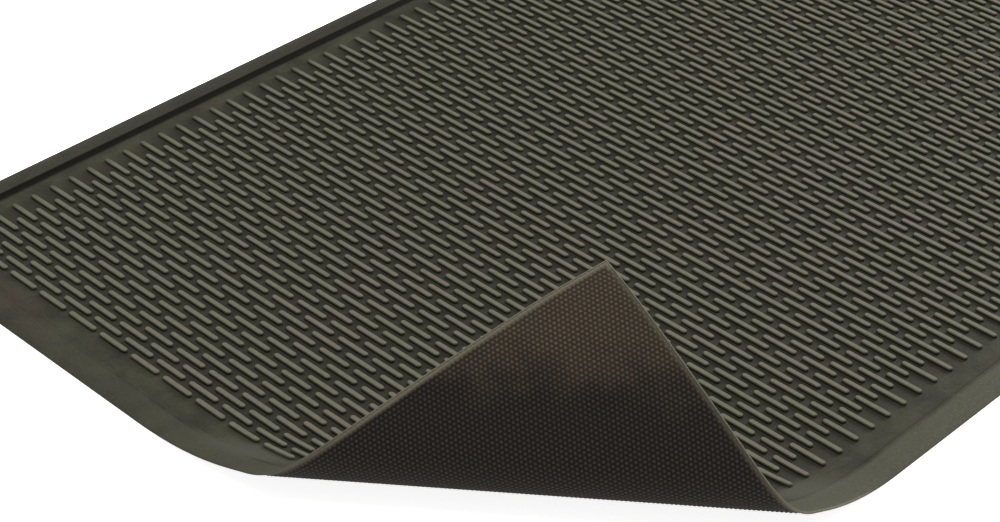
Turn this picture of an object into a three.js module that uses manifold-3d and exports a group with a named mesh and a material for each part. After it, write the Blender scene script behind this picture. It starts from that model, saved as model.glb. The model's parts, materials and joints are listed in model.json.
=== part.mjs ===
// Anti fatigue floor mat with one corner folded up and over.
//
// The mat is a laminate of three sheets: a moulded rubber tread with a ramped border, a foam core in a
// pocket under it, and a grip backing flush with the floor. The folded corner is cut into straight strips
// along parallel fold lines, and each strip turns a little further than the one before it.
//
// Frame, in millimetres: the floor is z = 0, the mat's width runs along X and its length along Y, and the
// origin is at the middle of the footprint. The corner at +X, -Y is the folded one.

import * as THREE from 'three';
import { mergeVertices } from 'three/addons/utils/BufferGeometryUtils.js';
import Module from 'manifold-3d';

const wasm = await Module();
wasm.setup();

// Driving dimensions of the flat mat
const WIDTH = 914.4;
const LENGTH = 1524;
const BAR_PITCH = WIDTH / 20; // from one bar to the next in a row
const BAR_LENGTH = 0.85 * BAR_PITCH;
const BAR_WIDTH = 0.13 * BAR_PITCH;
const ROW_PITCH = BAR_PITCH / 4;
const ROWS = 125;
const BARS_IN_LONG_ROW = 18;

// Heights above the floor
const BACKING_TOP = 0.9;
const BOND_LINE = 0.1; // adhesive film between two sheets
const CORE_TOP = 2.2;
const TRAY_FLOOR = 3.3;
const BAR_TOP = 6.3;
const EDGE_HEIGHT = 1.8; // upright outer edge below the ramp
const CREST_HEIGHT = 6;

// Distances in from the outer edge
const BACKING_INSET = 1.5;
const CREST_OUTER = 25;
const CREST_INNER = 27;
const TRAY_INSET = 29;
const CORE_INSET = 32;

// The folded corner: widths of its strips on the underside, from the flat mat outwards
const FOLD_LINE_ANGLE = THREE.MathUtils.degToRad(38.45); // fold lines against +X
const TURN = THREE.MathUtils.degToRad(14.3); // turn at each fold line
const LIFT_STRIP = 37.6;
const LIFT_STRIPS = 2;
const LOOP_STRIP = 8.7;
const LOOP_STRIPS = 6;
const LOWER_FLAP_STRIP = 73;
const UPPER_FLAP_STRIP = 64;
const CORNER_STRIP = 37;
const HALF_GAP = 0.15; // half of the clearance between two strips

// Half height and half length of the prisms that cut the strips apart
const CUTTER_HEIGHT = 12;
const CUTTER_REACH = 2500;

const TREAD_RUBBER = new THREE.MeshStandardMaterial({ color: 0x4b4e44, roughness: 0.75, metalness: 0 });
const CORE_FOAM = new THREE.MeshStandardMaterial({ color: 0x23231f, roughness: 0.9, metalness: 0 });
const BACKING_RUBBER = new THREE.MeshStandardMaterial({ color: 0x3c342d, roughness: 0.85, metalness: 0 });

// A solid from a closed surface, with the points that corners share joined
function toSolid(geometry) {
  const bare = geometry.clone();
  bare.deleteAttribute('normal');
  bare.deleteAttribute('uv');
  const merged = mergeVertices(bare);
  return new wasm.Manifold(new wasm.Mesh({
    numProp: 3,
    vertProperties: merged.attributes.position.array,
    triVerts: new Uint32Array(merged.index.array),
  }));
}

// A solid's surface
function toGeometry(solid) {
  const mesh = solid.getMesh();
  const geometry = new THREE.BufferGeometry();
  geometry.setAttribute('position', new THREE.BufferAttribute(mesh.vertProperties, 3));
  geometry.setIndex(new THREE.BufferAttribute(mesh.triVerts, 1));
  return geometry;
}

// A closed body lofted through level rectangles, each inset from the mat's outline, from the bottom up
function loftRectangles(rings) {
  const corners = [[-1, -1], [1, -1], [1, 1], [-1, 1]];
  const points = rings.flatMap(({ inset, z }) => corners.map(([sx, sy]) => [
    sx * (WIDTH / 2 - inset),
    sy * (LENGTH / 2 - inset),
    z,
  ]));
  const last = 4 * (rings.length - 1);
  const triangles = [[0, 2, 1], [0, 3, 2], [last, last + 1, last + 2], [last, last + 2, last + 3]];
  for (let ring = 0; ring < rings.length - 1; ring += 1) {
    for (let side = 0; side < 4; side += 1) {
      const low = 4 * ring + side;
      const lowNext = 4 * ring + (side + 1) % 4;
      triangles.push([low, lowNext, lowNext + 4], [low, lowNext + 4, low + 4]);
    }
  }
  const geometry = new THREE.BufferGeometry();
  geometry.setAttribute('position', new THREE.Float32BufferAttribute(points.flat(), 3));
  geometry.setIndex(triangles.flat());
  return toSolid(geometry);
}

// A plain sheet, inset from the mat's outline
function sheet(inset, bottom, top) {
  return loftRectangles([{ inset, z: bottom }, { inset, z: top }]);
}

// One straight rib stands for each row of bars, and holds as much rubber as the row's separate bars
function rowRib(row) {
  const bars = row % 2 === 0 ? BARS_IN_LONG_ROW : BARS_IN_LONG_ROW - 1;
  const length = (bars - 1) * BAR_PITCH + BAR_LENGTH;
  const width = BAR_WIDTH * BAR_LENGTH / BAR_PITCH;
  const root = (TRAY_FLOOR + CORE_TOP + BOND_LINE) / 2;
  const box = new THREE.BoxGeometry(length, width, BAR_TOP - root);
  box.translate(0, (row - (ROWS - 1) / 2) * ROW_PITCH, (BAR_TOP + root) / 2);
  return toSolid(box);
}

// The tread in one piece: ramps, rim, tray and ribs, hollowed from below for the backing and the core
function makeTread() {
  let tread = loftRectangles([
    { inset: 0, z: 0 },
    { inset: 0, z: EDGE_HEIGHT },
    { inset: CREST_OUTER, z: CREST_HEIGHT },
    { inset: CREST_INNER, z: CREST_HEIGHT },
    { inset: TRAY_INSET, z: TRAY_FLOOR },
  ]);
  for (let row = 0; row < ROWS; row += 1) {
    tread = tread.add(rowRib(row));
  }
  const backingPocket = sheet(BACKING_INSET - BOND_LINE, -1, BACKING_TOP + BOND_LINE);
  const corePocket = sheet(CORE_INSET - BOND_LINE, -1, CORE_TOP + BOND_LINE);
  return tread.subtract(backingPocket).subtract(corePocket);
}

// The fold's own directions in the flat mat: along the fold lines, and out across them to the corner
const alongFold = new THREE.Vector3(Math.cos(FOLD_LINE_ANGLE), Math.sin(FOLD_LINE_ANGLE), 0);
const acrossFold = new THREE.Vector3(Math.sin(FOLD_LINE_ANGLE), -Math.cos(FOLD_LINE_ANGLE), 0);
const foldedCorner = new THREE.Vector3(WIDTH / 2, -LENGTH / 2, 0);

// Names and widths of the strips, from the flat mat outwards
const strips = [
  ...Array.from({ length: LIFT_STRIPS }, (_, i) => ({ name: `lift_${i + 1}`, width: LIFT_STRIP })),
  ...Array.from({ length: LOOP_STRIPS }, (_, i) => ({ name: `loop_${i + 1}`, width: LOOP_STRIP })),
  { name: 'lower_flap', width: LOWER_FLAP_STRIP },
  { name: 'upper_flap', width: UPPER_FLAP_STRIP },
  { name: 'corner', width: CORNER_STRIP },
];
const foldReach = strips.reduce((sum, strip) => sum + strip.width, 0);

// A long prism over the stretch from start to end, measured across the fold lines from the first one.
// Its two cut faces lean in by half a turn, so neighbouring strips close up when the corner is folded.
function cutter(start, end) {
  const lean = CUTTER_HEIGHT * Math.tan(TURN / 2);
  const section = new THREE.Shape([
    new THREE.Vector2(start + HALF_GAP - lean, -CUTTER_HEIGHT),
    new THREE.Vector2(end - HALF_GAP + lean, -CUTTER_HEIGHT),
    new THREE.Vector2(end - HALF_GAP - lean, CUTTER_HEIGHT),
    new THREE.Vector2(start + HALF_GAP + lean, CUTTER_HEIGHT),
  ]);
  const prism = new THREE.ExtrudeGeometry(section, { depth: 2 * CUTTER_REACH, bevelEnabled: false });
  prism.translate(0, 0, -CUTTER_REACH);
  const up = new THREE.Vector3(0, 0, 1);
  const firstLine = foldedCorner.clone().addScaledVector(acrossFold, -foldReach);
  const placement = new THREE.Matrix4().makeBasis(acrossFold, up, alongFold.clone().negate());
  prism.applyMatrix4(placement.setPosition(firstLine));
  return toSolid(prism);
}

// The laminate's sheets as they lie in the flat mat
const layers = [
  { name: 'tread', solid: makeTread(), material: TREAD_RUBBER },
  { name: 'core', solid: sheet(CORE_INSET, BACKING_TOP + BOND_LINE, CORE_TOP), material: CORE_FOAM },
  { name: 'backing', solid: sheet(BACKING_INSET, 0, BACKING_TOP), material: BACKING_RUBBER },
];

// The part of every layer that lies between two fold lines. The core ends before the mat's corner does.
function addLayers(group, name, start, end) {
  const prism = cutter(start, end);
  for (const layer of layers) {
    const piece = layer.solid.intersect(prism);
    if (!piece.isEmpty()) {
      const mesh = new THREE.Mesh(toGeometry(piece), layer.material);
      mesh.name = `${layer.name}_${name}`;
      group.add(mesh);
    }
  }
}

// A group that is turned about the fold line at the given distance across the fold, inside its parent
function foldedGroup(start) {
  const hinge = foldedCorner.clone().addScaledVector(acrossFold, start - foldReach);
  const group = new THREE.Group();
  group.quaternion.setFromAxisAngle(alongFold.clone().negate(), TURN);
  group.position.copy(hinge).sub(hinge.clone().applyQuaternion(group.quaternion));
  return group;
}

// The whole mat: its flat part, then every strip inside the group of the strip before it
const mat = new THREE.Group();
addLayers(mat, 'main', -CUTTER_REACH, 0);

let parent = mat;
let start = 0;
for (const strip of strips) {
  const group = foldedGroup(start);
  parent.add(group);
  const isLast = strip === strips[strips.length - 1];
  addLayers(group, strip.name, start, isLast ? start + CUTTER_REACH : start + strip.width);
  parent = group;
  start += strip.width;
}

export default mat;
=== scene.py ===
import json
import math

import bmesh
import bpy
import numpy as np
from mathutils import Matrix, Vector

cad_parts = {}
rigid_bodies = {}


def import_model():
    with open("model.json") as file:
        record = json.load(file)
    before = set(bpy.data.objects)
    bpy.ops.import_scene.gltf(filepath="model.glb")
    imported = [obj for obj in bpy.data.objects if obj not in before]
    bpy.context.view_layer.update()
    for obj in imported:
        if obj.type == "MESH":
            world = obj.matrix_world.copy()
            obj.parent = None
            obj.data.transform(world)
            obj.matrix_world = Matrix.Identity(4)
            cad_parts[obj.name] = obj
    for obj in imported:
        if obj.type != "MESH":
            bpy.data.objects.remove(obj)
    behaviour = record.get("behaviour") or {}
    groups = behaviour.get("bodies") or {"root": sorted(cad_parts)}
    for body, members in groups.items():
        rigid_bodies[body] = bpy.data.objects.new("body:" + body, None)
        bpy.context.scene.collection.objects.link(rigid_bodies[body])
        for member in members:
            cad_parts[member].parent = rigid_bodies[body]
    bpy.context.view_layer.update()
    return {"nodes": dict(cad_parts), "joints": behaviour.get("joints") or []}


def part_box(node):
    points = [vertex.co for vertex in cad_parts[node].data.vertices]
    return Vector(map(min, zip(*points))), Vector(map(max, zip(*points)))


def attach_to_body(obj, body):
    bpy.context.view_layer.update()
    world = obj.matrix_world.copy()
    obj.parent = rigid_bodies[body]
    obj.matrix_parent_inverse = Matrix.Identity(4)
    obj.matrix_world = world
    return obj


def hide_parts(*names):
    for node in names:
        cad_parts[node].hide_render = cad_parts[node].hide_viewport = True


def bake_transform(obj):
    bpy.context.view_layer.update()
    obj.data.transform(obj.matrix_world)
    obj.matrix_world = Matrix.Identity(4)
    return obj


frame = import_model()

# Everything is in metres, in the CAD frame: the floor is z = 0, the mat's width runs along X and its
# length along Y. Meshes are made as the flat mat and then folded along the CAD hinges. An inset is a
# distance in from the flat mat's outer edge.

MM = 0.001

# Sizes of the flat mat, from the CAD nodes
LOW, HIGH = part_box("tread_main")
WIDTH = HIGH.x - LOW.x
LENGTH = HIGH.y - LOW.y
BAR_TOP = HIGH.z
BACKING_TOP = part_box("backing_main")[1].z
BACKING_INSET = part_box("backing_main")[0].x - LOW.x
CORE_LOW, CORE_HIGH = (corner.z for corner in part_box("core_main"))
CORE_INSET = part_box("core_main")[0].x - LOW.x

# The field of raised bars
BAR_PITCH = WIDTH / 20
BAR_LENGTH = 0.85 * BAR_PITCH
BAR_WIDTH = 0.13 * BAR_PITCH
ROW_PITCH = BAR_PITCH / 4
ROWS = 125
BARS_IN_LONG_ROW = 18
FIELD_EDGE = (WIDTH - BARS_IN_LONG_ROW * BAR_PITCH) / 2  # inset of the bars' ends
LEFT_END = -WIDTH / 2 + FIELD_EDGE
TRAY_FLOOR = 3.3 * MM  # height of the floor between the bars
BAR_ROUNDING = 0.75 * MM  # how far a bar's top edge is rounded, both down and in
BAR_SHOULDER = BAR_TOP - BAR_ROUNDING
BAR_DRAFT = 0.2 * MM  # how far a bar's sides lean in below the shoulder
ARC_STEPS = 4  # straight pieces in each round end

# The border round the field, as insets
RIM_CREST = 26 * MM  # to the nearest millimetre
TRAY_EDGE = 30.5 * MM

# The grip dots under the mat, in staggered rows along X
DOT_PITCH = 0.0925 * BAR_PITCH
DOT_ROW_PITCH = 0.89 * DOT_PITCH
DOT_RADIUS = 0.31 * DOT_PITCH
DOT_HEIGHT = 0.45 * MM
DOT_SIDES = 6
DOT_MARGIN = 5 * MM  # bare strip inside the backing's edge

BOND_LINE = 0.1 * MM  # the adhesive between two sheets
BENDS_PER_HINGE = 4  # straight steps that each rounded fold is made of
LONGEST_TANGENT = 30 * MM  # how far either side of a hinge its bend may reach
SMOOTH_ANGLE = math.radians(40)

# Where the painted light on the surfaces lies, measured across the fold
TIP_LIGHT_REACH = 135 * MM  # how far the painted light under the folded corner reaches in from its tip
BEND_HIGHLIGHT_OFFSET = 20 * MM  # from the first hinge to the middle of the painted highlights
BEND_HIGHLIGHT_REACH = 35 * MM  # from their middle to where they end

# Camera and stage
CAMERA_AZIMUTH = math.radians(44.57)
CAMERA_ELEVATION = math.radians(35.61)
CAMERA_DISTANCE = 2.26
CAMERA_AIM = Vector((0.0028, -0.3725, BAR_TOP))
CAMERA_LENS = 85.36  # focal length in millimetres
LIGHT_COLOUR = (1.0, 0.975, 0.89)
SURROUND_LIGHT = 0.37
FLOOR_SIZE = 30.0
FLOOR_GAP = 0.3 * MM  # between the floor and the mat's underside
FLOOR_GLOW = 0.85


# ---------------------------------------------------------------------------------------------------
# The fold
# ---------------------------------------------------------------------------------------------------

class Hinge:
    """One CAD fold line. place is how far across the fold it lies in the flat mat, and the bend is
    rounded for one tangent's length either side of it."""

    def __init__(self, joint, place):
        self.parent = joint["parent"]
        self.child = joint["child"]
        self.turn = math.radians(joint["range_deg"][1])
        self.place = place
        self.tangent = LONGEST_TANGENT

    @property
    def radius(self):
        return self.tangent / math.tan(self.turn / 2)


JOINTS = frame["joints"]
ALONG = np.array(JOINTS[0]["axis"])  # unit vector along the fold lines
ACROSS = np.array([ALONG[1], -ALONG[0], 0.0])  # and across them, towards the folded corner
FOLDED_CORNER = np.array([HIGH.x, LOW.y, 0.0])  # where its tip lies in the flat mat


def make_hinges():
    """The hinges from the flat mat outwards. The strips between them keep their rest lengths."""
    hinges = []
    last_point = None
    for joint in JOINTS:
        point = np.array(joint["pos_m"])
        if last_point is None:
            place = point @ ACROSS
        else:
            place = hinges[-1].place + np.linalg.norm(point - last_point)
        hinges.append(Hinge(joint, place))
        last_point = point
    places = [-math.inf] + [hinge.place for hinge in hinges] + [FOLDED_CORNER @ ACROSS]
    for number, hinge in enumerate(hinges, 1):
        narrowest = min(places[number] - places[number - 1], places[number + 1] - places[number])
        hinge.tangent = min(LONGEST_TANGENT, narrowest / 2)
    return hinges


HINGES = make_hinges()


def fold(points):
    """Points of the flat mat, moved to where the folded corner holds them. The underside keeps its
    length to within 1%, and each hinge turns what lies beyond it, from the outermost to the first."""
    place = points @ ACROSS
    across = place.copy()
    height = points[:, 2].copy()
    for hinge in reversed(HINGES):
        beyond = place >= hinge.place + hinge.tangent
        bending = (place > hinge.place - hinge.tangent) & ~beyond
        offset = across[beyond] - hinge.place
        rise = height[beyond].copy()
        across[beyond] = hinge.place + offset * math.cos(hinge.turn) - rise * math.sin(hinge.turn)
        height[beyond] = offset * math.sin(hinge.turn) + rise * math.cos(hinge.turn)
        share = (place[bending] - hinge.place + hinge.tangent) / (2 * hinge.tangent)
        angle = share * hinge.turn
        inner = hinge.radius - height[bending]
        across[bending] = hinge.place - hinge.tangent + inner * np.sin(angle)
        height[bending] = hinge.radius - inner * np.cos(angle)
    return np.outer(points @ ALONG, ALONG) + np.outer(across, ACROSS) + np.outer(height, [0, 0, 1])


def seams():
    """Where the sheet is divided into pieces: at the start of the first bend, in the middle of every
    strip, and past the corner."""
    result = [HINGES[0].place - HINGES[0].tangent]
    for hinge, following in zip(HINGES, HINGES[1:]):
        result.append((hinge.place + hinge.tangent + following.place - following.tangent) / 2)
    result.append(math.inf)
    return result


def bend_lines():
    """Every line across which the folded sheet turns by a step."""
    lines = []
    for hinge in HINGES:
        steps = np.linspace(-hinge.tangent, hinge.tangent, BENDS_PER_HINGE + 1)
        lines.extend(hinge.place + steps)
    return lines


# ---------------------------------------------------------------------------------------------------
# Flat meshes
# ---------------------------------------------------------------------------------------------------

class Builder:
    """Collects points and faces of one mesh."""

    def __init__(self):
        self.points = []
        self.faces = []

    def add(self, points, faces):
        first = len(self.points)
        self.points.extend(points)
        self.faces.extend([tuple(first + i for i in face) for face in faces])

    def to_bmesh(self):
        """The collected mesh, with the points that coincide welded together."""
        mesh = bpy.data.meshes.new("flat")
        mesh.from_pydata([tuple(p) for p in self.points], [], self.faces)
        body = bmesh.new()
        body.from_mesh(mesh)
        bpy.data.meshes.remove(mesh)
        bmesh.ops.remove_doubles(body, verts=body.verts, dist=0.01 * MM)
        return body


def stadium(inset, z):
    """A bar's outline, drawn in by inset, from the middle of one long side all the way round."""
    radius = BAR_WIDTH / 2 - inset
    centre = (BAR_LENGTH - BAR_WIDTH) / 2
    points = []
    for side in (-1, 1):
        points.append((0.0, -side * radius, z))
        for step in range(ARC_STEPS + 1):
            angle = math.pi * step / ARC_STEPS
            x = centre + radius * math.sin(angle)
            y = -radius * math.cos(angle)
            points.append((side * x, side * y, z))
    return points


def bar_cell():
    """One bar with the patch of tray floor round it, centred on the origin. The patch has a point in
    the middle of each long side, where the cells of the next rows meet."""
    a, b = BAR_PITCH / 2, ROW_PITCH / 2
    outline = [(0, b), (-a, b), (-a, -b), (0, -b), (a, -b), (a, b)]
    points = [(x, y, TRAY_FLOOR) for x, y in outline]
    rings = [
        stadium(0, TRAY_FLOOR),
        stadium(BAR_DRAFT, BAR_SHOULDER),
        stadium(BAR_DRAFT + BAR_ROUNDING, BAR_TOP),
    ]
    count = len(rings[0])
    for ring in rings:
        points.extend(ring)
    faces = []
    # The floor, in one fan of faces round each half of the bar's foot
    for half in (0, 1):
        corner, low_corner, middle, opposite = ((i + 3 * half) % 6 for i in (1, 2, 0, 3))
        ring = [6 + (i + half * count // 2) % count for i in range(count)]
        last = 1 + ARC_STEPS
        centre = 1 + ARC_STEPS // 2
        faces.append((middle, corner, ring[1], ring[0]))
        for i in range(1, last):
            faces.append((corner if i < centre else low_corner, ring[i + 1], ring[i]))
        faces.append((corner, low_corner, ring[centre]))
        faces.append((low_corner, opposite, ring[last + 1], ring[last]))
    # The bar's sides and its flat top
    for level in range(len(rings) - 1):
        low = 6 + level * count
        for i in range(count):
            following = (i + 1) % count
            faces.append((low + i, low + following, low + following + count, low + i + count))
    top = 6 + (len(rings) - 1) * count
    faces.append(tuple(top + i for i in range(count)))
    return np.array(points), faces


def add_bar_field(builder):
    """All rows of bars. Every second row is one bar shorter and has half a cell of floor at each end."""
    points, faces = bar_cell()
    for row in range(ROWS):
        y = (row - (ROWS - 1) / 2) * ROW_PITCH
        is_short = row % 2
        bars = BARS_IN_LONG_ROW - is_short
        for bar in range(bars):
            x = (bar - (bars - 1) / 2) * BAR_PITCH
            builder.add(points + (x, y, 0), faces)
        if is_short:
            for side in (-1, 1):
                left, right = sorted(side * BAR_PITCH / 2 * count for count in (bars, bars + 1))
                corners = [(left, -1), (right, -1), (right, 1), (left, 1)]
                patch = [(x, y + up * ROW_PITCH / 2, TRAY_FLOOR) for x, up in corners]
                builder.add(patch, [(0, 1, 2, 3)])


def perimeter():
    """Shares of the half width and half length, once round the bar field, at every cell's edge."""
    xs = np.linspace(-1, 1, 2 * BARS_IN_LONG_ROW + 1)
    ys = np.linspace(-1, 1, ROWS + 1)
    front = [(x, -1) for x in xs[:-1]]
    right = [(1, y) for y in ys[:-1]]
    back = [(-x, 1) for x in xs[:-1]]
    left = [(-1, -y) for y in ys[:-1]]
    return front + right + back + left


def border_profile():
    """The tread's border in section, as insets from the mat's edge and heights, from the tray's edge
    over the rim's crest, down the ramp and the outer edge, and back in below to the two pockets."""
    backing_pocket = BACKING_INSET - BOND_LINE
    core_pocket = CORE_INSET - BOND_LINE
    return [
        (TRAY_EDGE, TRAY_FLOOR),
        (29.2 * MM, 3.45 * MM),
        (28.3 * MM, 4.2 * MM),
        (27.6 * MM, 5.5 * MM),
        (26.9 * MM, 5.88 * MM),
        (25.8 * MM, 6 * MM),
        (24.4 * MM, 5.88 * MM),
        (12.5 * MM, 3.9 * MM),
        (0.7 * MM, 1.95 * MM),
        (0.15 * MM, 1.6 * MM),
        (0, 1.2 * MM),
        (0.12 * MM, 0.6 * MM),
        (0.5 * MM, 0.15 * MM),
        (1.1 * MM, 0),
        (backing_pocket, 0),
        (backing_pocket, BACKING_TOP + BOND_LINE),
        (core_pocket, BACKING_TOP + BOND_LINE),
        (core_pocket, CORE_HIGH + BOND_LINE),
    ]


def flat_tread():
    """The whole moulded tread sheet as one closed body: the bar field, the border in one ring of points
    for each point of its profile, and the roof of the core's pocket."""
    builder = Builder()
    add_bar_field(builder)
    stations = perimeter()
    half_field = (BAR_PITCH * BARS_IN_LONG_ROW / 2, ROW_PITCH * ROWS / 2)
    rings = [(*half_field, TRAY_FLOOR)]
    rings += [(WIDTH / 2 - inset, LENGTH / 2 - inset, z) for inset, z in border_profile()]
    count = len(stations)
    points = [(u * half_x, v * half_y, z) for half_x, half_y, z in rings for u, v in stations]
    faces = []
    for level in range(len(rings) - 1):
        inner, outer = level * count, (level + 1) * count
        for i in range(count):
            following = (i + 1) % count
            faces.append((outer + i, outer + following, inner + following, inner + i))
    last = (len(rings) - 1) * count
    faces.append(tuple(last + i for i in reversed(range(count))))
    builder.add(points, faces)
    return builder.to_bmesh()


def flat_slab(inset, low, high):
    """A plain closed sheet, inset from the mat's edge."""
    half_x, half_y = WIDTH / 2 - inset, LENGTH / 2 - inset
    corners = [(-half_x, -half_y), (half_x, -half_y), (half_x, half_y), (-half_x, half_y)]
    points = [(x, y, z) for z in (low, high) for x, y in corners]
    faces = [(3, 2, 1, 0), (4, 5, 6, 7)]
    faces += [(i, (i + 1) % 4, (i + 1) % 4 + 4, i + 4) for i in range(4)]
    builder = Builder()
    builder.add(points, faces)
    return builder.to_bmesh()


def dot_shape():
    """One closed grip dot, centred on the origin, rounded towards the floor and sunk in the backing."""
    sunk = DOT_HEIGHT + 0.05 * MM
    rings = [(DOT_RADIUS, sunk), (DOT_RADIUS * 0.92, DOT_HEIGHT * 0.45), (DOT_RADIUS * 0.55, 0)]
    angles = [2 * math.pi * i / DOT_SIDES for i in range(DOT_SIDES)]
    points = [(r * math.cos(t), r * math.sin(t), z) for r, z in rings for t in angles]
    faces = [tuple(range(DOT_SIDES))]
    for level in range(len(rings) - 1):
        high, low = level * DOT_SIDES, (level + 1) * DOT_SIDES
        for i in range(DOT_SIDES):
            following = (i + 1) % DOT_SIDES
            faces.append((high + i, low + i, low + following, high + following))
    last = (len(rings) - 1) * DOT_SIDES
    faces.append(tuple(last + i for i in reversed(range(DOT_SIDES))))
    return np.array(points), faces


def dot_centres(start, end):
    """Centres of the dots that lie between two places across the fold."""
    half_x = WIDTH / 2 - BACKING_INSET - DOT_MARGIN - DOT_RADIUS
    half_y = LENGTH / 2 - BACKING_INSET - DOT_MARGIN - DOT_RADIUS
    columns = int(half_x / DOT_PITCH)
    rows = int(half_y / DOT_ROW_PITCH)
    column, row = np.meshgrid(np.arange(-columns, columns + 1), np.arange(-rows, rows + 1))
    x = ((column + 0.5 * (row % 2)) * DOT_PITCH).ravel()
    y = (row * DOT_ROW_PITCH).ravel()
    centres = np.stack([x, y, np.zeros(x.size)], axis=1)
    place = centres @ ACROSS
    return centres[(place >= start) & (place < end) & (x < half_x)]


# ---------------------------------------------------------------------------------------------------
# Cutting the flat meshes into pieces and folding them
# ---------------------------------------------------------------------------------------------------

def cut_across(body, place, keep=None):
    """Cuts a bmesh along the line at that place across the fold. keep is None, "before" or "beyond",
    and the cut face that it leaves is closed."""
    result = bmesh.ops.bisect_plane(
        body,
        geom=body.verts[:] + body.edges[:] + body.faces[:],
        dist=0.001 * MM,
        plane_co=ACROSS * place,
        plane_no=ACROSS,
        clear_inner=keep == "beyond",
        clear_outer=keep == "before",
    )
    if keep is not None:
        edges = [item for item in result["geom_cut"] if isinstance(item, bmesh.types.BMEdge)]
        bmesh.ops.edgeloop_fill(body, edges=edges)


def add_dots(body, start, end):
    """Adds to a bmesh the dots that lie between two places across the fold."""
    points, faces = dot_shape()
    builder = Builder()
    for centre in dot_centres(start, end):
        builder.add(points + centre, faces)
    mesh = bpy.data.meshes.new("dots")
    mesh.from_pydata([tuple(p) for p in builder.points], [], builder.faces)
    body.from_mesh(mesh)
    bpy.data.meshes.remove(mesh)


def finish_piece(body, name, material):
    """An object from a flat bmesh: folded, smooth-shaded, and with its flat place kept for materials."""
    mesh = bpy.data.meshes.new(name)
    body.to_mesh(mesh)
    body.free()
    flat = np.zeros(len(mesh.vertices) * 3)
    mesh.vertices.foreach_get("co", flat)
    mesh.attributes.new("flat", "FLOAT_VECTOR", "POINT").data.foreach_set("vector", flat)
    mesh.vertices.foreach_set("co", fold(flat.reshape(-1, 3)).ravel())
    mesh.shade_smooth()
    mesh.set_sharp_from_angle(angle=SMOOTH_ANGLE)
    mesh.update()
    piece = bpy.data.objects.new(name, mesh)
    bpy.context.scene.collection.objects.link(piece)
    mesh.materials.append(material)
    return piece


def fold_point(place):
    """The underside's point in the middle of the folded corner at that place across the fold."""
    middle = ALONG * (FOLDED_CORNER @ ALONG) + ACROSS * place
    return fold(middle[None, :])[0]


def attach(piece, number):
    """Rides the first piece on the flat mat; every other piece, already folded, only has its transform
    baked into its mesh.
    """
    if number == 0:
        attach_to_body(piece, HINGES[0].parent)
        return
    hinge = HINGES[number - 1]
    start = fold_point(hinge.place - hinge.tangent)
    end = fold_point(hinge.place + hinge.tangent)
    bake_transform(piece)


def cut_at_seams(whole, dotted):
    """One sheet's pieces, from the flat mat to the corner's tip, still flat but cut at every bend."""
    ends = seams()
    folding = whole.copy()
    cut_across(whole, ends[0], keep="before")
    cut_across(folding, ends[0], keep="beyond")
    for line in bend_lines():
        cut_across(folding, line)
    cuts = [whole]
    for start, end in zip(ends, ends[1:]):
        cut = folding.copy()
        cut_across(cut, start, keep="beyond")
        if end < math.inf:
            cut_across(cut, end, keep="before")
        if dotted:
            add_dots(cut, start, end)
        cuts.append(cut)
    folding.free()
    return cuts


def make_layer(layer, whole, material, dotted=False):
    """Makes the pieces of one sheet of the laminate, and puts each in its CAD node's place."""
    bodies = [HINGES[0].parent] + [hinge.child for hinge in HINGES]
    for number, (body_name, cut) in enumerate(zip(bodies, cut_at_seams(whole, dotted))):
        piece = finish_piece(cut, f"{layer}_sheet_{body_name}", material)
        attach(piece, number)
        node = f"{layer}_{body_name}"
        if node in frame["nodes"]:
            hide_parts(node)


# ---------------------------------------------------------------------------------------------------
# Materials
# ---------------------------------------------------------------------------------------------------

def rgb(red, green, blue):
    return (red, green, blue, 1.0)


# Colours of the tread
RUBBER_DARK = rgb(0.0075, 0.0077, 0.004)
RUBBER_PALE = rgb(0.0215, 0.0223, 0.0127)
RUBBER_BROWN = rgb(0.02, 0.0135, 0.0095)
# painted shade for the floor between the bars
CHANNEL_SHADE_COLOUR = rgb(0.0055, 0.005, 0.002)
# painted light: the outer ramp paler towards the right
RIGHT_RAMP_LIGHT_COLOUR = rgb(0.0285, 0.029, 0.02)
# painted shade on the left border
LEFT_BORDER_SHADE_COLOUR = rgb(0.0065, 0.0054, 0.0036)
# painted shade along the inner foot of the rim
RIM_SHADE_COLOUR = rgb(0.0025, 0.0023, 0.0016)
# painted highlight where the tray curls up at the first bend
BEND_HIGHLIGHT_COLOUR = rgb(0.031, 0.032, 0.024)
# painted highlight on the turned-up outer edge
EDGE_HIGHLIGHT = rgb(0.09, 0.083, 0.064)
# the bars' pale tops: partly scuffing, partly painted sheen
BAR_TOP_GREEN = rgb(0.0745, 0.0775, 0.056)
BAR_TOP_BROWN = rgb(0.083, 0.0775, 0.062)

# Colours of the backing, plain and in painted light
GROUND = rgb(0.0058, 0.0048, 0.0041)
# painted light on the underside towards the folded corner's tip
LIT_GROUND = rgb(0.0215, 0.0165, 0.0118)
DOT_TOPS = rgb(0.0295, 0.0243, 0.021)
LIT_DOT_TOPS = rgb(0.076, 0.06, 0.044)
# pale rim: partly paler bare rubber, partly a painted highlight on the turned-up edge
BACKING_RIM_HIGHLIGHT = rgb(0.115, 0.105, 0.08)

# Colours of the foam core
FOAM_CELLS = rgb(0.02, 0.02, 0.018)
FOAM_WALLS = rgb(0.05, 0.05, 0.045)

# Colours of the stage
WHITE = rgb(1.0, 1.0, 1.0)
FLOOR_WHITE = rgb(0.9, 0.9, 0.9)


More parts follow.
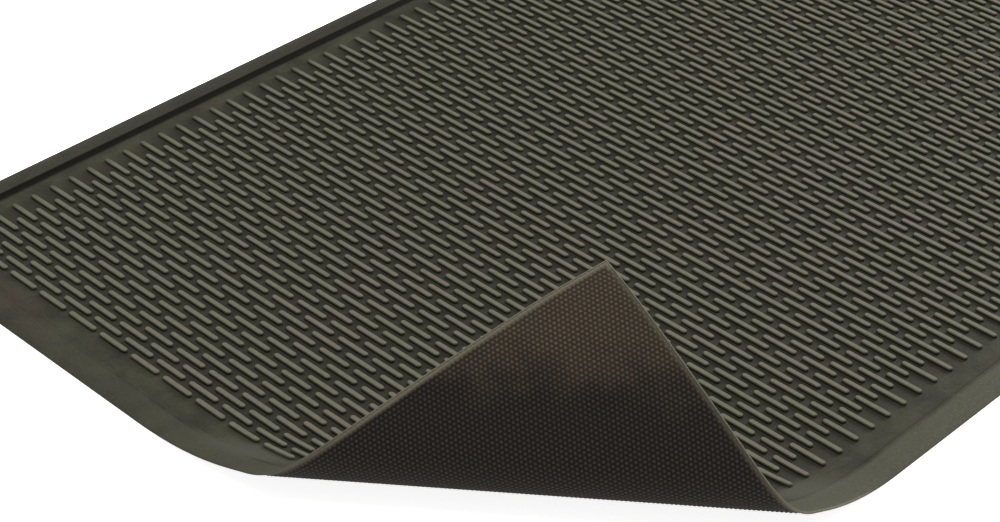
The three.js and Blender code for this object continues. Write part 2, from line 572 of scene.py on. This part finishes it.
class Shader:
    """A new material's node tree, with short calls to add and join nodes."""

    def __init__(self, name):
        self.material = bpy.data.materials.new(name)
        self.material.use_nodes = True
        self.nodes = self.material.node_tree.nodes
        self.surface = self.nodes["Principled BSDF"]

    def node(self, kind, inputs=None, **settings):
        made = self.nodes.new(kind)
        for key, value in settings.items():
            setattr(made, key, value)
        for key, value in (inputs or {}).items():
            self.put(value, made.inputs[key])
        return made

    def put(self, value, socket):
        if isinstance(value, bpy.types.NodeSocket):
            self.material.node_tree.links.new(value, socket)
        else:
            socket.default_value = value

    def flat_place(self):
        """Where the point lies on the flat mat, so that patterns bend with the sheet."""
        return self.node("ShaderNodeAttribute", attribute_name="flat").outputs["Vector"]

    def flat(self, axis):
        return self.node("ShaderNodeSeparateXYZ", {"Vector": self.flat_place()}).outputs[axis]

    def noise(self, scale, detail=3.0, roughness=0.5):
        inputs = {"Vector": self.flat_place(), "Scale": scale, "Detail": detail, "Roughness": roughness}
        return self.node("ShaderNodeTexNoise", inputs).outputs["Fac"]

    def spread(self, value, low, high, to_low=0.0, to_high=1.0):
        """to_low where value is low or less, to_high where it is high or more, and eased in between."""
        inputs = {"Value": value, "From Min": low, "From Max": high, "To Min": to_low, "To Max": to_high}
        node = self.node("ShaderNodeMapRange", inputs, interpolation_type="SMOOTHSTEP")
        return node.outputs["Result"]

    def math(self, operation, first, second=0.0):
        return self.node("ShaderNodeMath", {0: first, 1: second}, operation=operation).outputs[0]

    def product(self, first, *others):
        for other in others:
            first = self.math("MULTIPLY", first, other)
        return first

    def edge_distance(self):
        """How far in from the flat mat's outer edge the point lies."""
        sideways = self.math("SUBTRACT", WIDTH / 2, self.math("ABSOLUTE", self.flat("X")))
        lengthways = self.math("SUBTRACT", LENGTH / 2, self.math("ABSOLUTE", self.flat("Y")))
        return self.math("MINIMUM", sideways, lengthways)

    def dot_distance(self):
        """How far the point lies from the middle of the nearest grip dot."""
        row_place = self.math("DIVIDE", self.flat("Y"), DOT_ROW_PITCH)
        row = self.math("ROUND", row_place)
        shift = self.math("MULTIPLY", self.math("FLOORED_MODULO", row, 2.0), 0.5)
        column_place = self.math("SUBTRACT", self.math("DIVIDE", self.flat("X"), DOT_PITCH), shift)
        sideways = self.math("SUBTRACT", column_place, self.math("ROUND", column_place))
        lengthways = self.math("SUBTRACT", row_place, row)
        offset = self.node("ShaderNodeCombineXYZ", {
            "X": self.math("MULTIPLY", sideways, DOT_PITCH),
            "Y": self.math("MULTIPLY", lengthways, DOT_ROW_PITCH),
        })
        length = self.node("ShaderNodeVectorMath", {0: offset.outputs["Vector"]}, operation="LENGTH")
        return length.outputs["Value"]

    def across_fold(self):
        """The point's place across the fold, on the flat mat."""
        inputs = {0: self.flat_place(), 1: tuple(ACROSS)}
        return self.node("ShaderNodeVectorMath", inputs, operation="DOT_PRODUCT").outputs["Value"]

    def mix(self, share, first, second):
        """The first colour where share is 0, and the second where it is 1."""
        node = self.node("ShaderNodeMix", data_type="RGBA")
        self.put(share, node.inputs["Factor"])
        self.put(first, node.inputs["A"])
        self.put(second, node.inputs["B"])
        return node.outputs["Result"]

    def bump(self, height, distance, strength=1.0, below=None):
        node = self.node("ShaderNodeBump", {"Height": height, "Distance": distance, "Strength": strength})
        if below is not None:
            self.put(below, node.inputs["Normal"])
        return node.outputs["Normal"]


def rim_foot_shade(shader, inset):
    """How thick the painted shade along the inner foot of the rim is: thickest at the left end."""
    return shader.product(
        shader.spread(inset, RIM_CREST - 1 * MM, RIM_CREST),
        shader.spread(inset, TRAY_EDGE, TRAY_EDGE + 6 * MM, 1.0, 0.0),
        shader.spread(shader.flat("X"), LEFT_END, LEFT_END + BAR_PITCH, 0.9, 0.08),
    )


def plain_rubber(shader, inset):
    """Mottled greenish black with brown patches, with painted shade on the floor between the bars
    and on the left border, and painted light that makes the ramp paler towards the right."""
    mottle = shader.spread(shader.noise(26.0, 4.0, 0.6), 0.3, 0.7)
    colour = shader.mix(mottle, RUBBER_DARK, RUBBER_PALE)
    brown = shader.spread(shader.noise(17.0, 3.0, 0.5), 0.52, 0.7, 0.0, 0.85)
    colour = shader.mix(brown, colour, RUBBER_BROWN)
    # Painted shade on the floor between the bars.
    channel_shade = shader.spread(inset, FIELD_EDGE - 5 * MM, FIELD_EDGE + BAR_PITCH / 2, 0.0, 0.7)
    colour = shader.mix(channel_shade, colour, CHANNEL_SHADE_COLOUR)
    # Painted light: the outer ramp paler towards the right.
    right_ramp_light = shader.product(
        shader.spread(inset, RIM_CREST - 4 * MM, RIM_CREST - 1 * MM, 1.0, 0.0),
        shader.spread(shader.flat("X"), -0.75 * WIDTH, 0.5 * WIDTH),
    )
    colour = shader.mix(right_ramp_light, colour, RIGHT_RAMP_LIGHT_COLOUR)
    # Painted shade on the left border.
    left_border_shade = shader.spread(shader.flat("X"), LEFT_END - FIELD_EDGE / 2, LEFT_END, 0.5, 0.0)
    return shader.mix(left_border_shade, colour, LEFT_BORDER_SHADE_COLOUR)


def bend_highlight(shader, inset):
    """1 in the two painted highlights beside the bars, one at each end of the first bend, where the
    curling tray catches the light.
    """
    place = shader.across_fold()
    middle = HINGES[0].place + BEND_HIGHLIGHT_OFFSET
    return shader.product(
        shader.spread(place, middle - BEND_HIGHLIGHT_REACH, middle - 5 * MM),
        shader.spread(place, middle + 5 * MM, middle + BEND_HIGHLIGHT_REACH, 1.0, 0.0),
        shader.spread(inset, 12 * MM, RIM_CREST),
        shader.spread(inset, FIELD_EDGE, FIELD_EDGE + 12 * MM, 1.0, 0.0),
    )


def edge_highlight_strength(shader, beside):
    """How strong the painted highlight on the turned-up edge is. Along the mat's front it grows towards
    the corner, and along the right side, beside that, it is even."""
    first_bend = HINGES[0].place
    place = shader.across_fold()
    front = shader.spread(place, first_bend + 50 * MM, first_bend + 170 * MM)
    right = shader.spread(place, first_bend, first_bend + 20 * MM, 0.0, beside)
    return shader.spread(shader.flat("Y"), LOW.y + 6 * MM, LOW.y + 12 * MM, front, right)


def tread_colour(shader, inset, foot):
    """The rubber, with black painted shade at the rim's foot, painted highlights at the first bend and on
    the turned-up edge, and the bars' tops painted paler, partly as scuffing and partly as painted sheen.
    """
    # Painted shade, black, along the rim's inner foot.
    rubber = shader.mix(foot, plain_rubber(shader, inset), RIM_SHADE_COLOUR)
    # Painted highlights where the tray curls up at the first bend.
    rubber = shader.mix(bend_highlight(shader, inset), rubber, BEND_HIGHLIGHT_COLOUR)
    # Painted highlight on the turned-up outer edge.
    outer_edge = shader.spread(inset, 0.5 * MM, 2.5 * MM, 0.9, 0.0)
    edge_highlight_share = shader.product(outer_edge, edge_highlight_strength(shader, 0.7))
    rubber = shader.mix(edge_highlight_share, rubber, EDGE_HIGHLIGHT)
    # The bars' tops painted paler, partly as scuffing and partly as painted sheen; the paleness fades out
    # at the left end of the field.
    scuff_and_sheen = shader.product(
        shader.spread(shader.noise(160.0, 4.0, 0.65), 0.25, 0.75, 0.78, 1.0),
        shader.spread(shader.flat("Z"), BAR_SHOULDER - 1 * MM, BAR_TOP),
        shader.spread(inset, TRAY_EDGE, FIELD_EDGE),
        shader.spread(shader.flat("X"), LEFT_END - BAR_PITCH / 4, LEFT_END + BAR_PITCH / 2),
    )
    tint = shader.product(
        shader.spread(shader.noise(12.0, 3.0, 0.5), 0.35, 0.65),
        shader.spread(shader.flat("X"), LEFT_END, 0.0, 0.15, 1.0),
    )
    return shader.mix(scuff_and_sheen, rubber, shader.mix(tint, BAR_TOP_GREEN, BAR_TOP_BROWN))


def tread_material():
    """Matt moulded rubber with a fine, pebbled grain."""
    shader = Shader("tread_rubber")
    inset = shader.edge_distance()
    foot = rim_foot_shade(shader, inset)
    grain = shader.noise(2600.0, 2.0, 0.6)
    pebble = shader.noise(520.0, 3.0, 0.55)
    shader.put(tread_colour(shader, inset, foot), shader.surface.inputs["Base Color"])
    shader.put(shader.spread(pebble, 0.3, 0.7, 0.62, 0.82), shader.surface.inputs["Roughness"])
    fine = shader.bump(grain, 0.04 * MM, 0.35)
    shader.put(shader.bump(pebble, 0.08 * MM, 0.4, fine), shader.surface.inputs["Normal"])
    # Less specular under the painted shade at the rim's foot.
    shader.put(shader.spread(foot, 0.0, 1.0, 0.2, 0.05), shader.surface.inputs["Specular IOR Level"])
    return shader.material


def backing_colour(shader, to_dot):
    """Brownish black rubber with paler dots and a pale rim, partly a painted highlight, and painted light
    towards the folded corner's tip.
    """
    wavy = shader.spread(shader.noise(30.0, 2.0, 0.5), 0.3, 0.7, -12 * MM, 12 * MM)
    place = shader.math("ADD", shader.across_fold(), wavy)
    corner = FOLDED_CORNER @ ACROSS
    # Painted light on the underside towards the folded corner's tip, where it faces the light.
    tip_light = shader.product(
        shader.spread(place, corner - TIP_LIGHT_REACH, corner - TIP_LIGHT_REACH / 2),
        shader.spread(shader.noise(14.0, 4.0, 0.6), 0.3, 0.7, 0.85, 1.0),
    )
    dots = shader.product(
        shader.spread(to_dot, 0.5 * DOT_RADIUS, 1.35 * DOT_RADIUS, 1.0, 0.0),
        shader.spread(shader.noise(220.0, 3.0, 0.6), 0.2, 0.8, 0.6, 1.0),
    )
    ground = shader.mix(tip_light, GROUND, LIT_GROUND)
    dot_tops = shader.mix(tip_light, DOT_TOPS, LIT_DOT_TOPS)
    # The pale rim, partly paler bare rubber and partly a painted highlight on the turned-up edge.
    rim = shader.product(
        shader.spread(shader.edge_distance(), BACKING_INSET, BACKING_INSET + DOT_MARGIN, 1.0, 0.0),
        edge_highlight_strength(shader, 0.35),
    )
    return shader.mix(rim, shader.mix(dots, ground, dot_tops), BACKING_RIM_HIGHLIGHT)


def backing_material():
    """Grip rubber. Its dots are modelled on the folding corner, and drawn by bump under the rest."""
    shader = Shader("backing_rubber")
    to_dot = shader.dot_distance()
    grain = shader.noise(2200.0, 2.0, 0.6)
    shader.put(backing_colour(shader, to_dot), shader.surface.inputs["Base Color"])
    shader.put(shader.spread(grain, 0.3, 0.7, 0.7, 0.88), shader.surface.inputs["Roughness"])
    bare = shader.spread(shader.flat("Z"), 0.9 * DOT_HEIGHT, DOT_HEIGHT)
    raised = shader.product(shader.spread(to_dot, 0.55 * DOT_RADIUS, DOT_RADIUS, 1.0, 0.0), bare)
    fine = shader.bump(grain, 0.05 * MM, 0.5)
    shader.put(shader.bump(raised, DOT_HEIGHT, 1.0, fine), shader.surface.inputs["Normal"])
    shader.put(0.1, shader.surface.inputs["Specular IOR Level"])
    return shader.material


def core_material():
    """Closed-cell foam: a fine bubbled cut surface."""
    shader = Shader("core_foam")
    place = shader.flat_place()
    cells = shader.node("ShaderNodeTexVoronoi", {"Vector": place, "Scale": 900.0}).outputs["Distance"]
    colour = shader.mix(shader.spread(cells, 0.1, 0.7), FOAM_CELLS, FOAM_WALLS)
    shader.put(colour, shader.surface.inputs["Base Color"])
    shader.put(0.9, shader.surface.inputs["Roughness"])
    shader.put(shader.bump(cells, 0.2 * MM), shader.surface.inputs["Normal"])
    return shader.material


# ---------------------------------------------------------------------------------------------------
# Stage
# ---------------------------------------------------------------------------------------------------

def make_floor():
    """A plain white floor that glows a little, like a light table, so that shadows on it stay pale."""
    mesh = bpy.data.meshes.new("studio_floor")
    half = FLOOR_SIZE / 2
    corners = [(-half, -half), (half, -half), (half, half), (-half, half)]
    mesh.from_pydata([(x, y, -FLOOR_GAP) for x, y in corners], [], [(0, 1, 2, 3)])
    floor = bpy.data.objects.new("studio_floor", mesh)
    bpy.context.scene.collection.objects.link(floor)
    shader = Shader("studio_floor")
    shader.put(FLOOR_WHITE, shader.surface.inputs["Base Color"])
    shader.put(1.0, shader.surface.inputs["Roughness"])
    shader.put(0.0, shader.surface.inputs["Specular IOR Level"])
    shader.put(WHITE, shader.surface.inputs["Emission Color"])
    shader.put(FLOOR_GLOW, shader.surface.inputs["Emission Strength"])
    mesh.materials.append(shader.material)


def add_area_light(name, place, target, size, power):
    light = bpy.data.lights.new(name, "AREA")
    light.shape = "SQUARE"
    light.size = size
    light.energy = power
    light.color = LIGHT_COLOUR
    lamp = bpy.data.objects.new(name, light)
    lamp.location = place
    lamp.rotation_euler = (Vector(target) - Vector(place)).to_track_quat("-Z", "Y").to_euler()
    bpy.context.scene.collection.objects.link(lamp)


def make_lights():
    """Large softboxes over the mat, behind it and at its left, and an even white surround."""
    add_area_light("top_softbox", place=(0.2, -0.6, 4.0), target=(0.1, -0.4, 0.0), size=3.0, power=205.0)
    add_area_light("back_softbox", place=(0.3, 2.6, 1.4), target=(0.0, -0.3, 0.0), size=1.2, power=120.0)
    add_area_light("left_softbox", place=(-2.4, 0.0, 2.0), target=(0.0, -0.3, 0.0), size=1.2, power=25.0)
    world = bpy.data.worlds.new("surround")
    world.use_nodes = True
    background = world.node_tree.nodes["Background"]
    background.inputs["Color"].default_value = WHITE
    background.inputs["Strength"].default_value = SURROUND_LIGHT
    bpy.context.scene.world = world
    bpy.context.scene.view_settings.view_transform = "Standard"


def make_camera():
    data = bpy.data.cameras.new("camera")
    data.lens = CAMERA_LENS
    data.clip_end = 100.0
    camera = bpy.data.objects.new("camera", data)
    forward = Vector((
        -math.sin(CAMERA_AZIMUTH) * math.cos(CAMERA_ELEVATION),
        math.cos(CAMERA_AZIMUTH) * math.cos(CAMERA_ELEVATION),
        -math.sin(CAMERA_ELEVATION),
    ))
    camera.location = CAMERA_AIM - forward * CAMERA_DISTANCE
    camera.rotation_euler = forward.to_track_quat("-Z", "Y").to_euler()
    bpy.context.scene.collection.objects.link(camera)
    bpy.context.scene.camera = camera


make_camera()
make_lights()
make_floor()
make_layer("tread", flat_tread(), tread_material())
core = flat_slab(CORE_INSET, CORE_LOW, CORE_HIGH)
make_layer("core", core, core_material())
backing = flat_slab(BACKING_INSET, DOT_HEIGHT, BACKING_TOP)
make_layer("backing", backing, backing_material(), dotted=True)
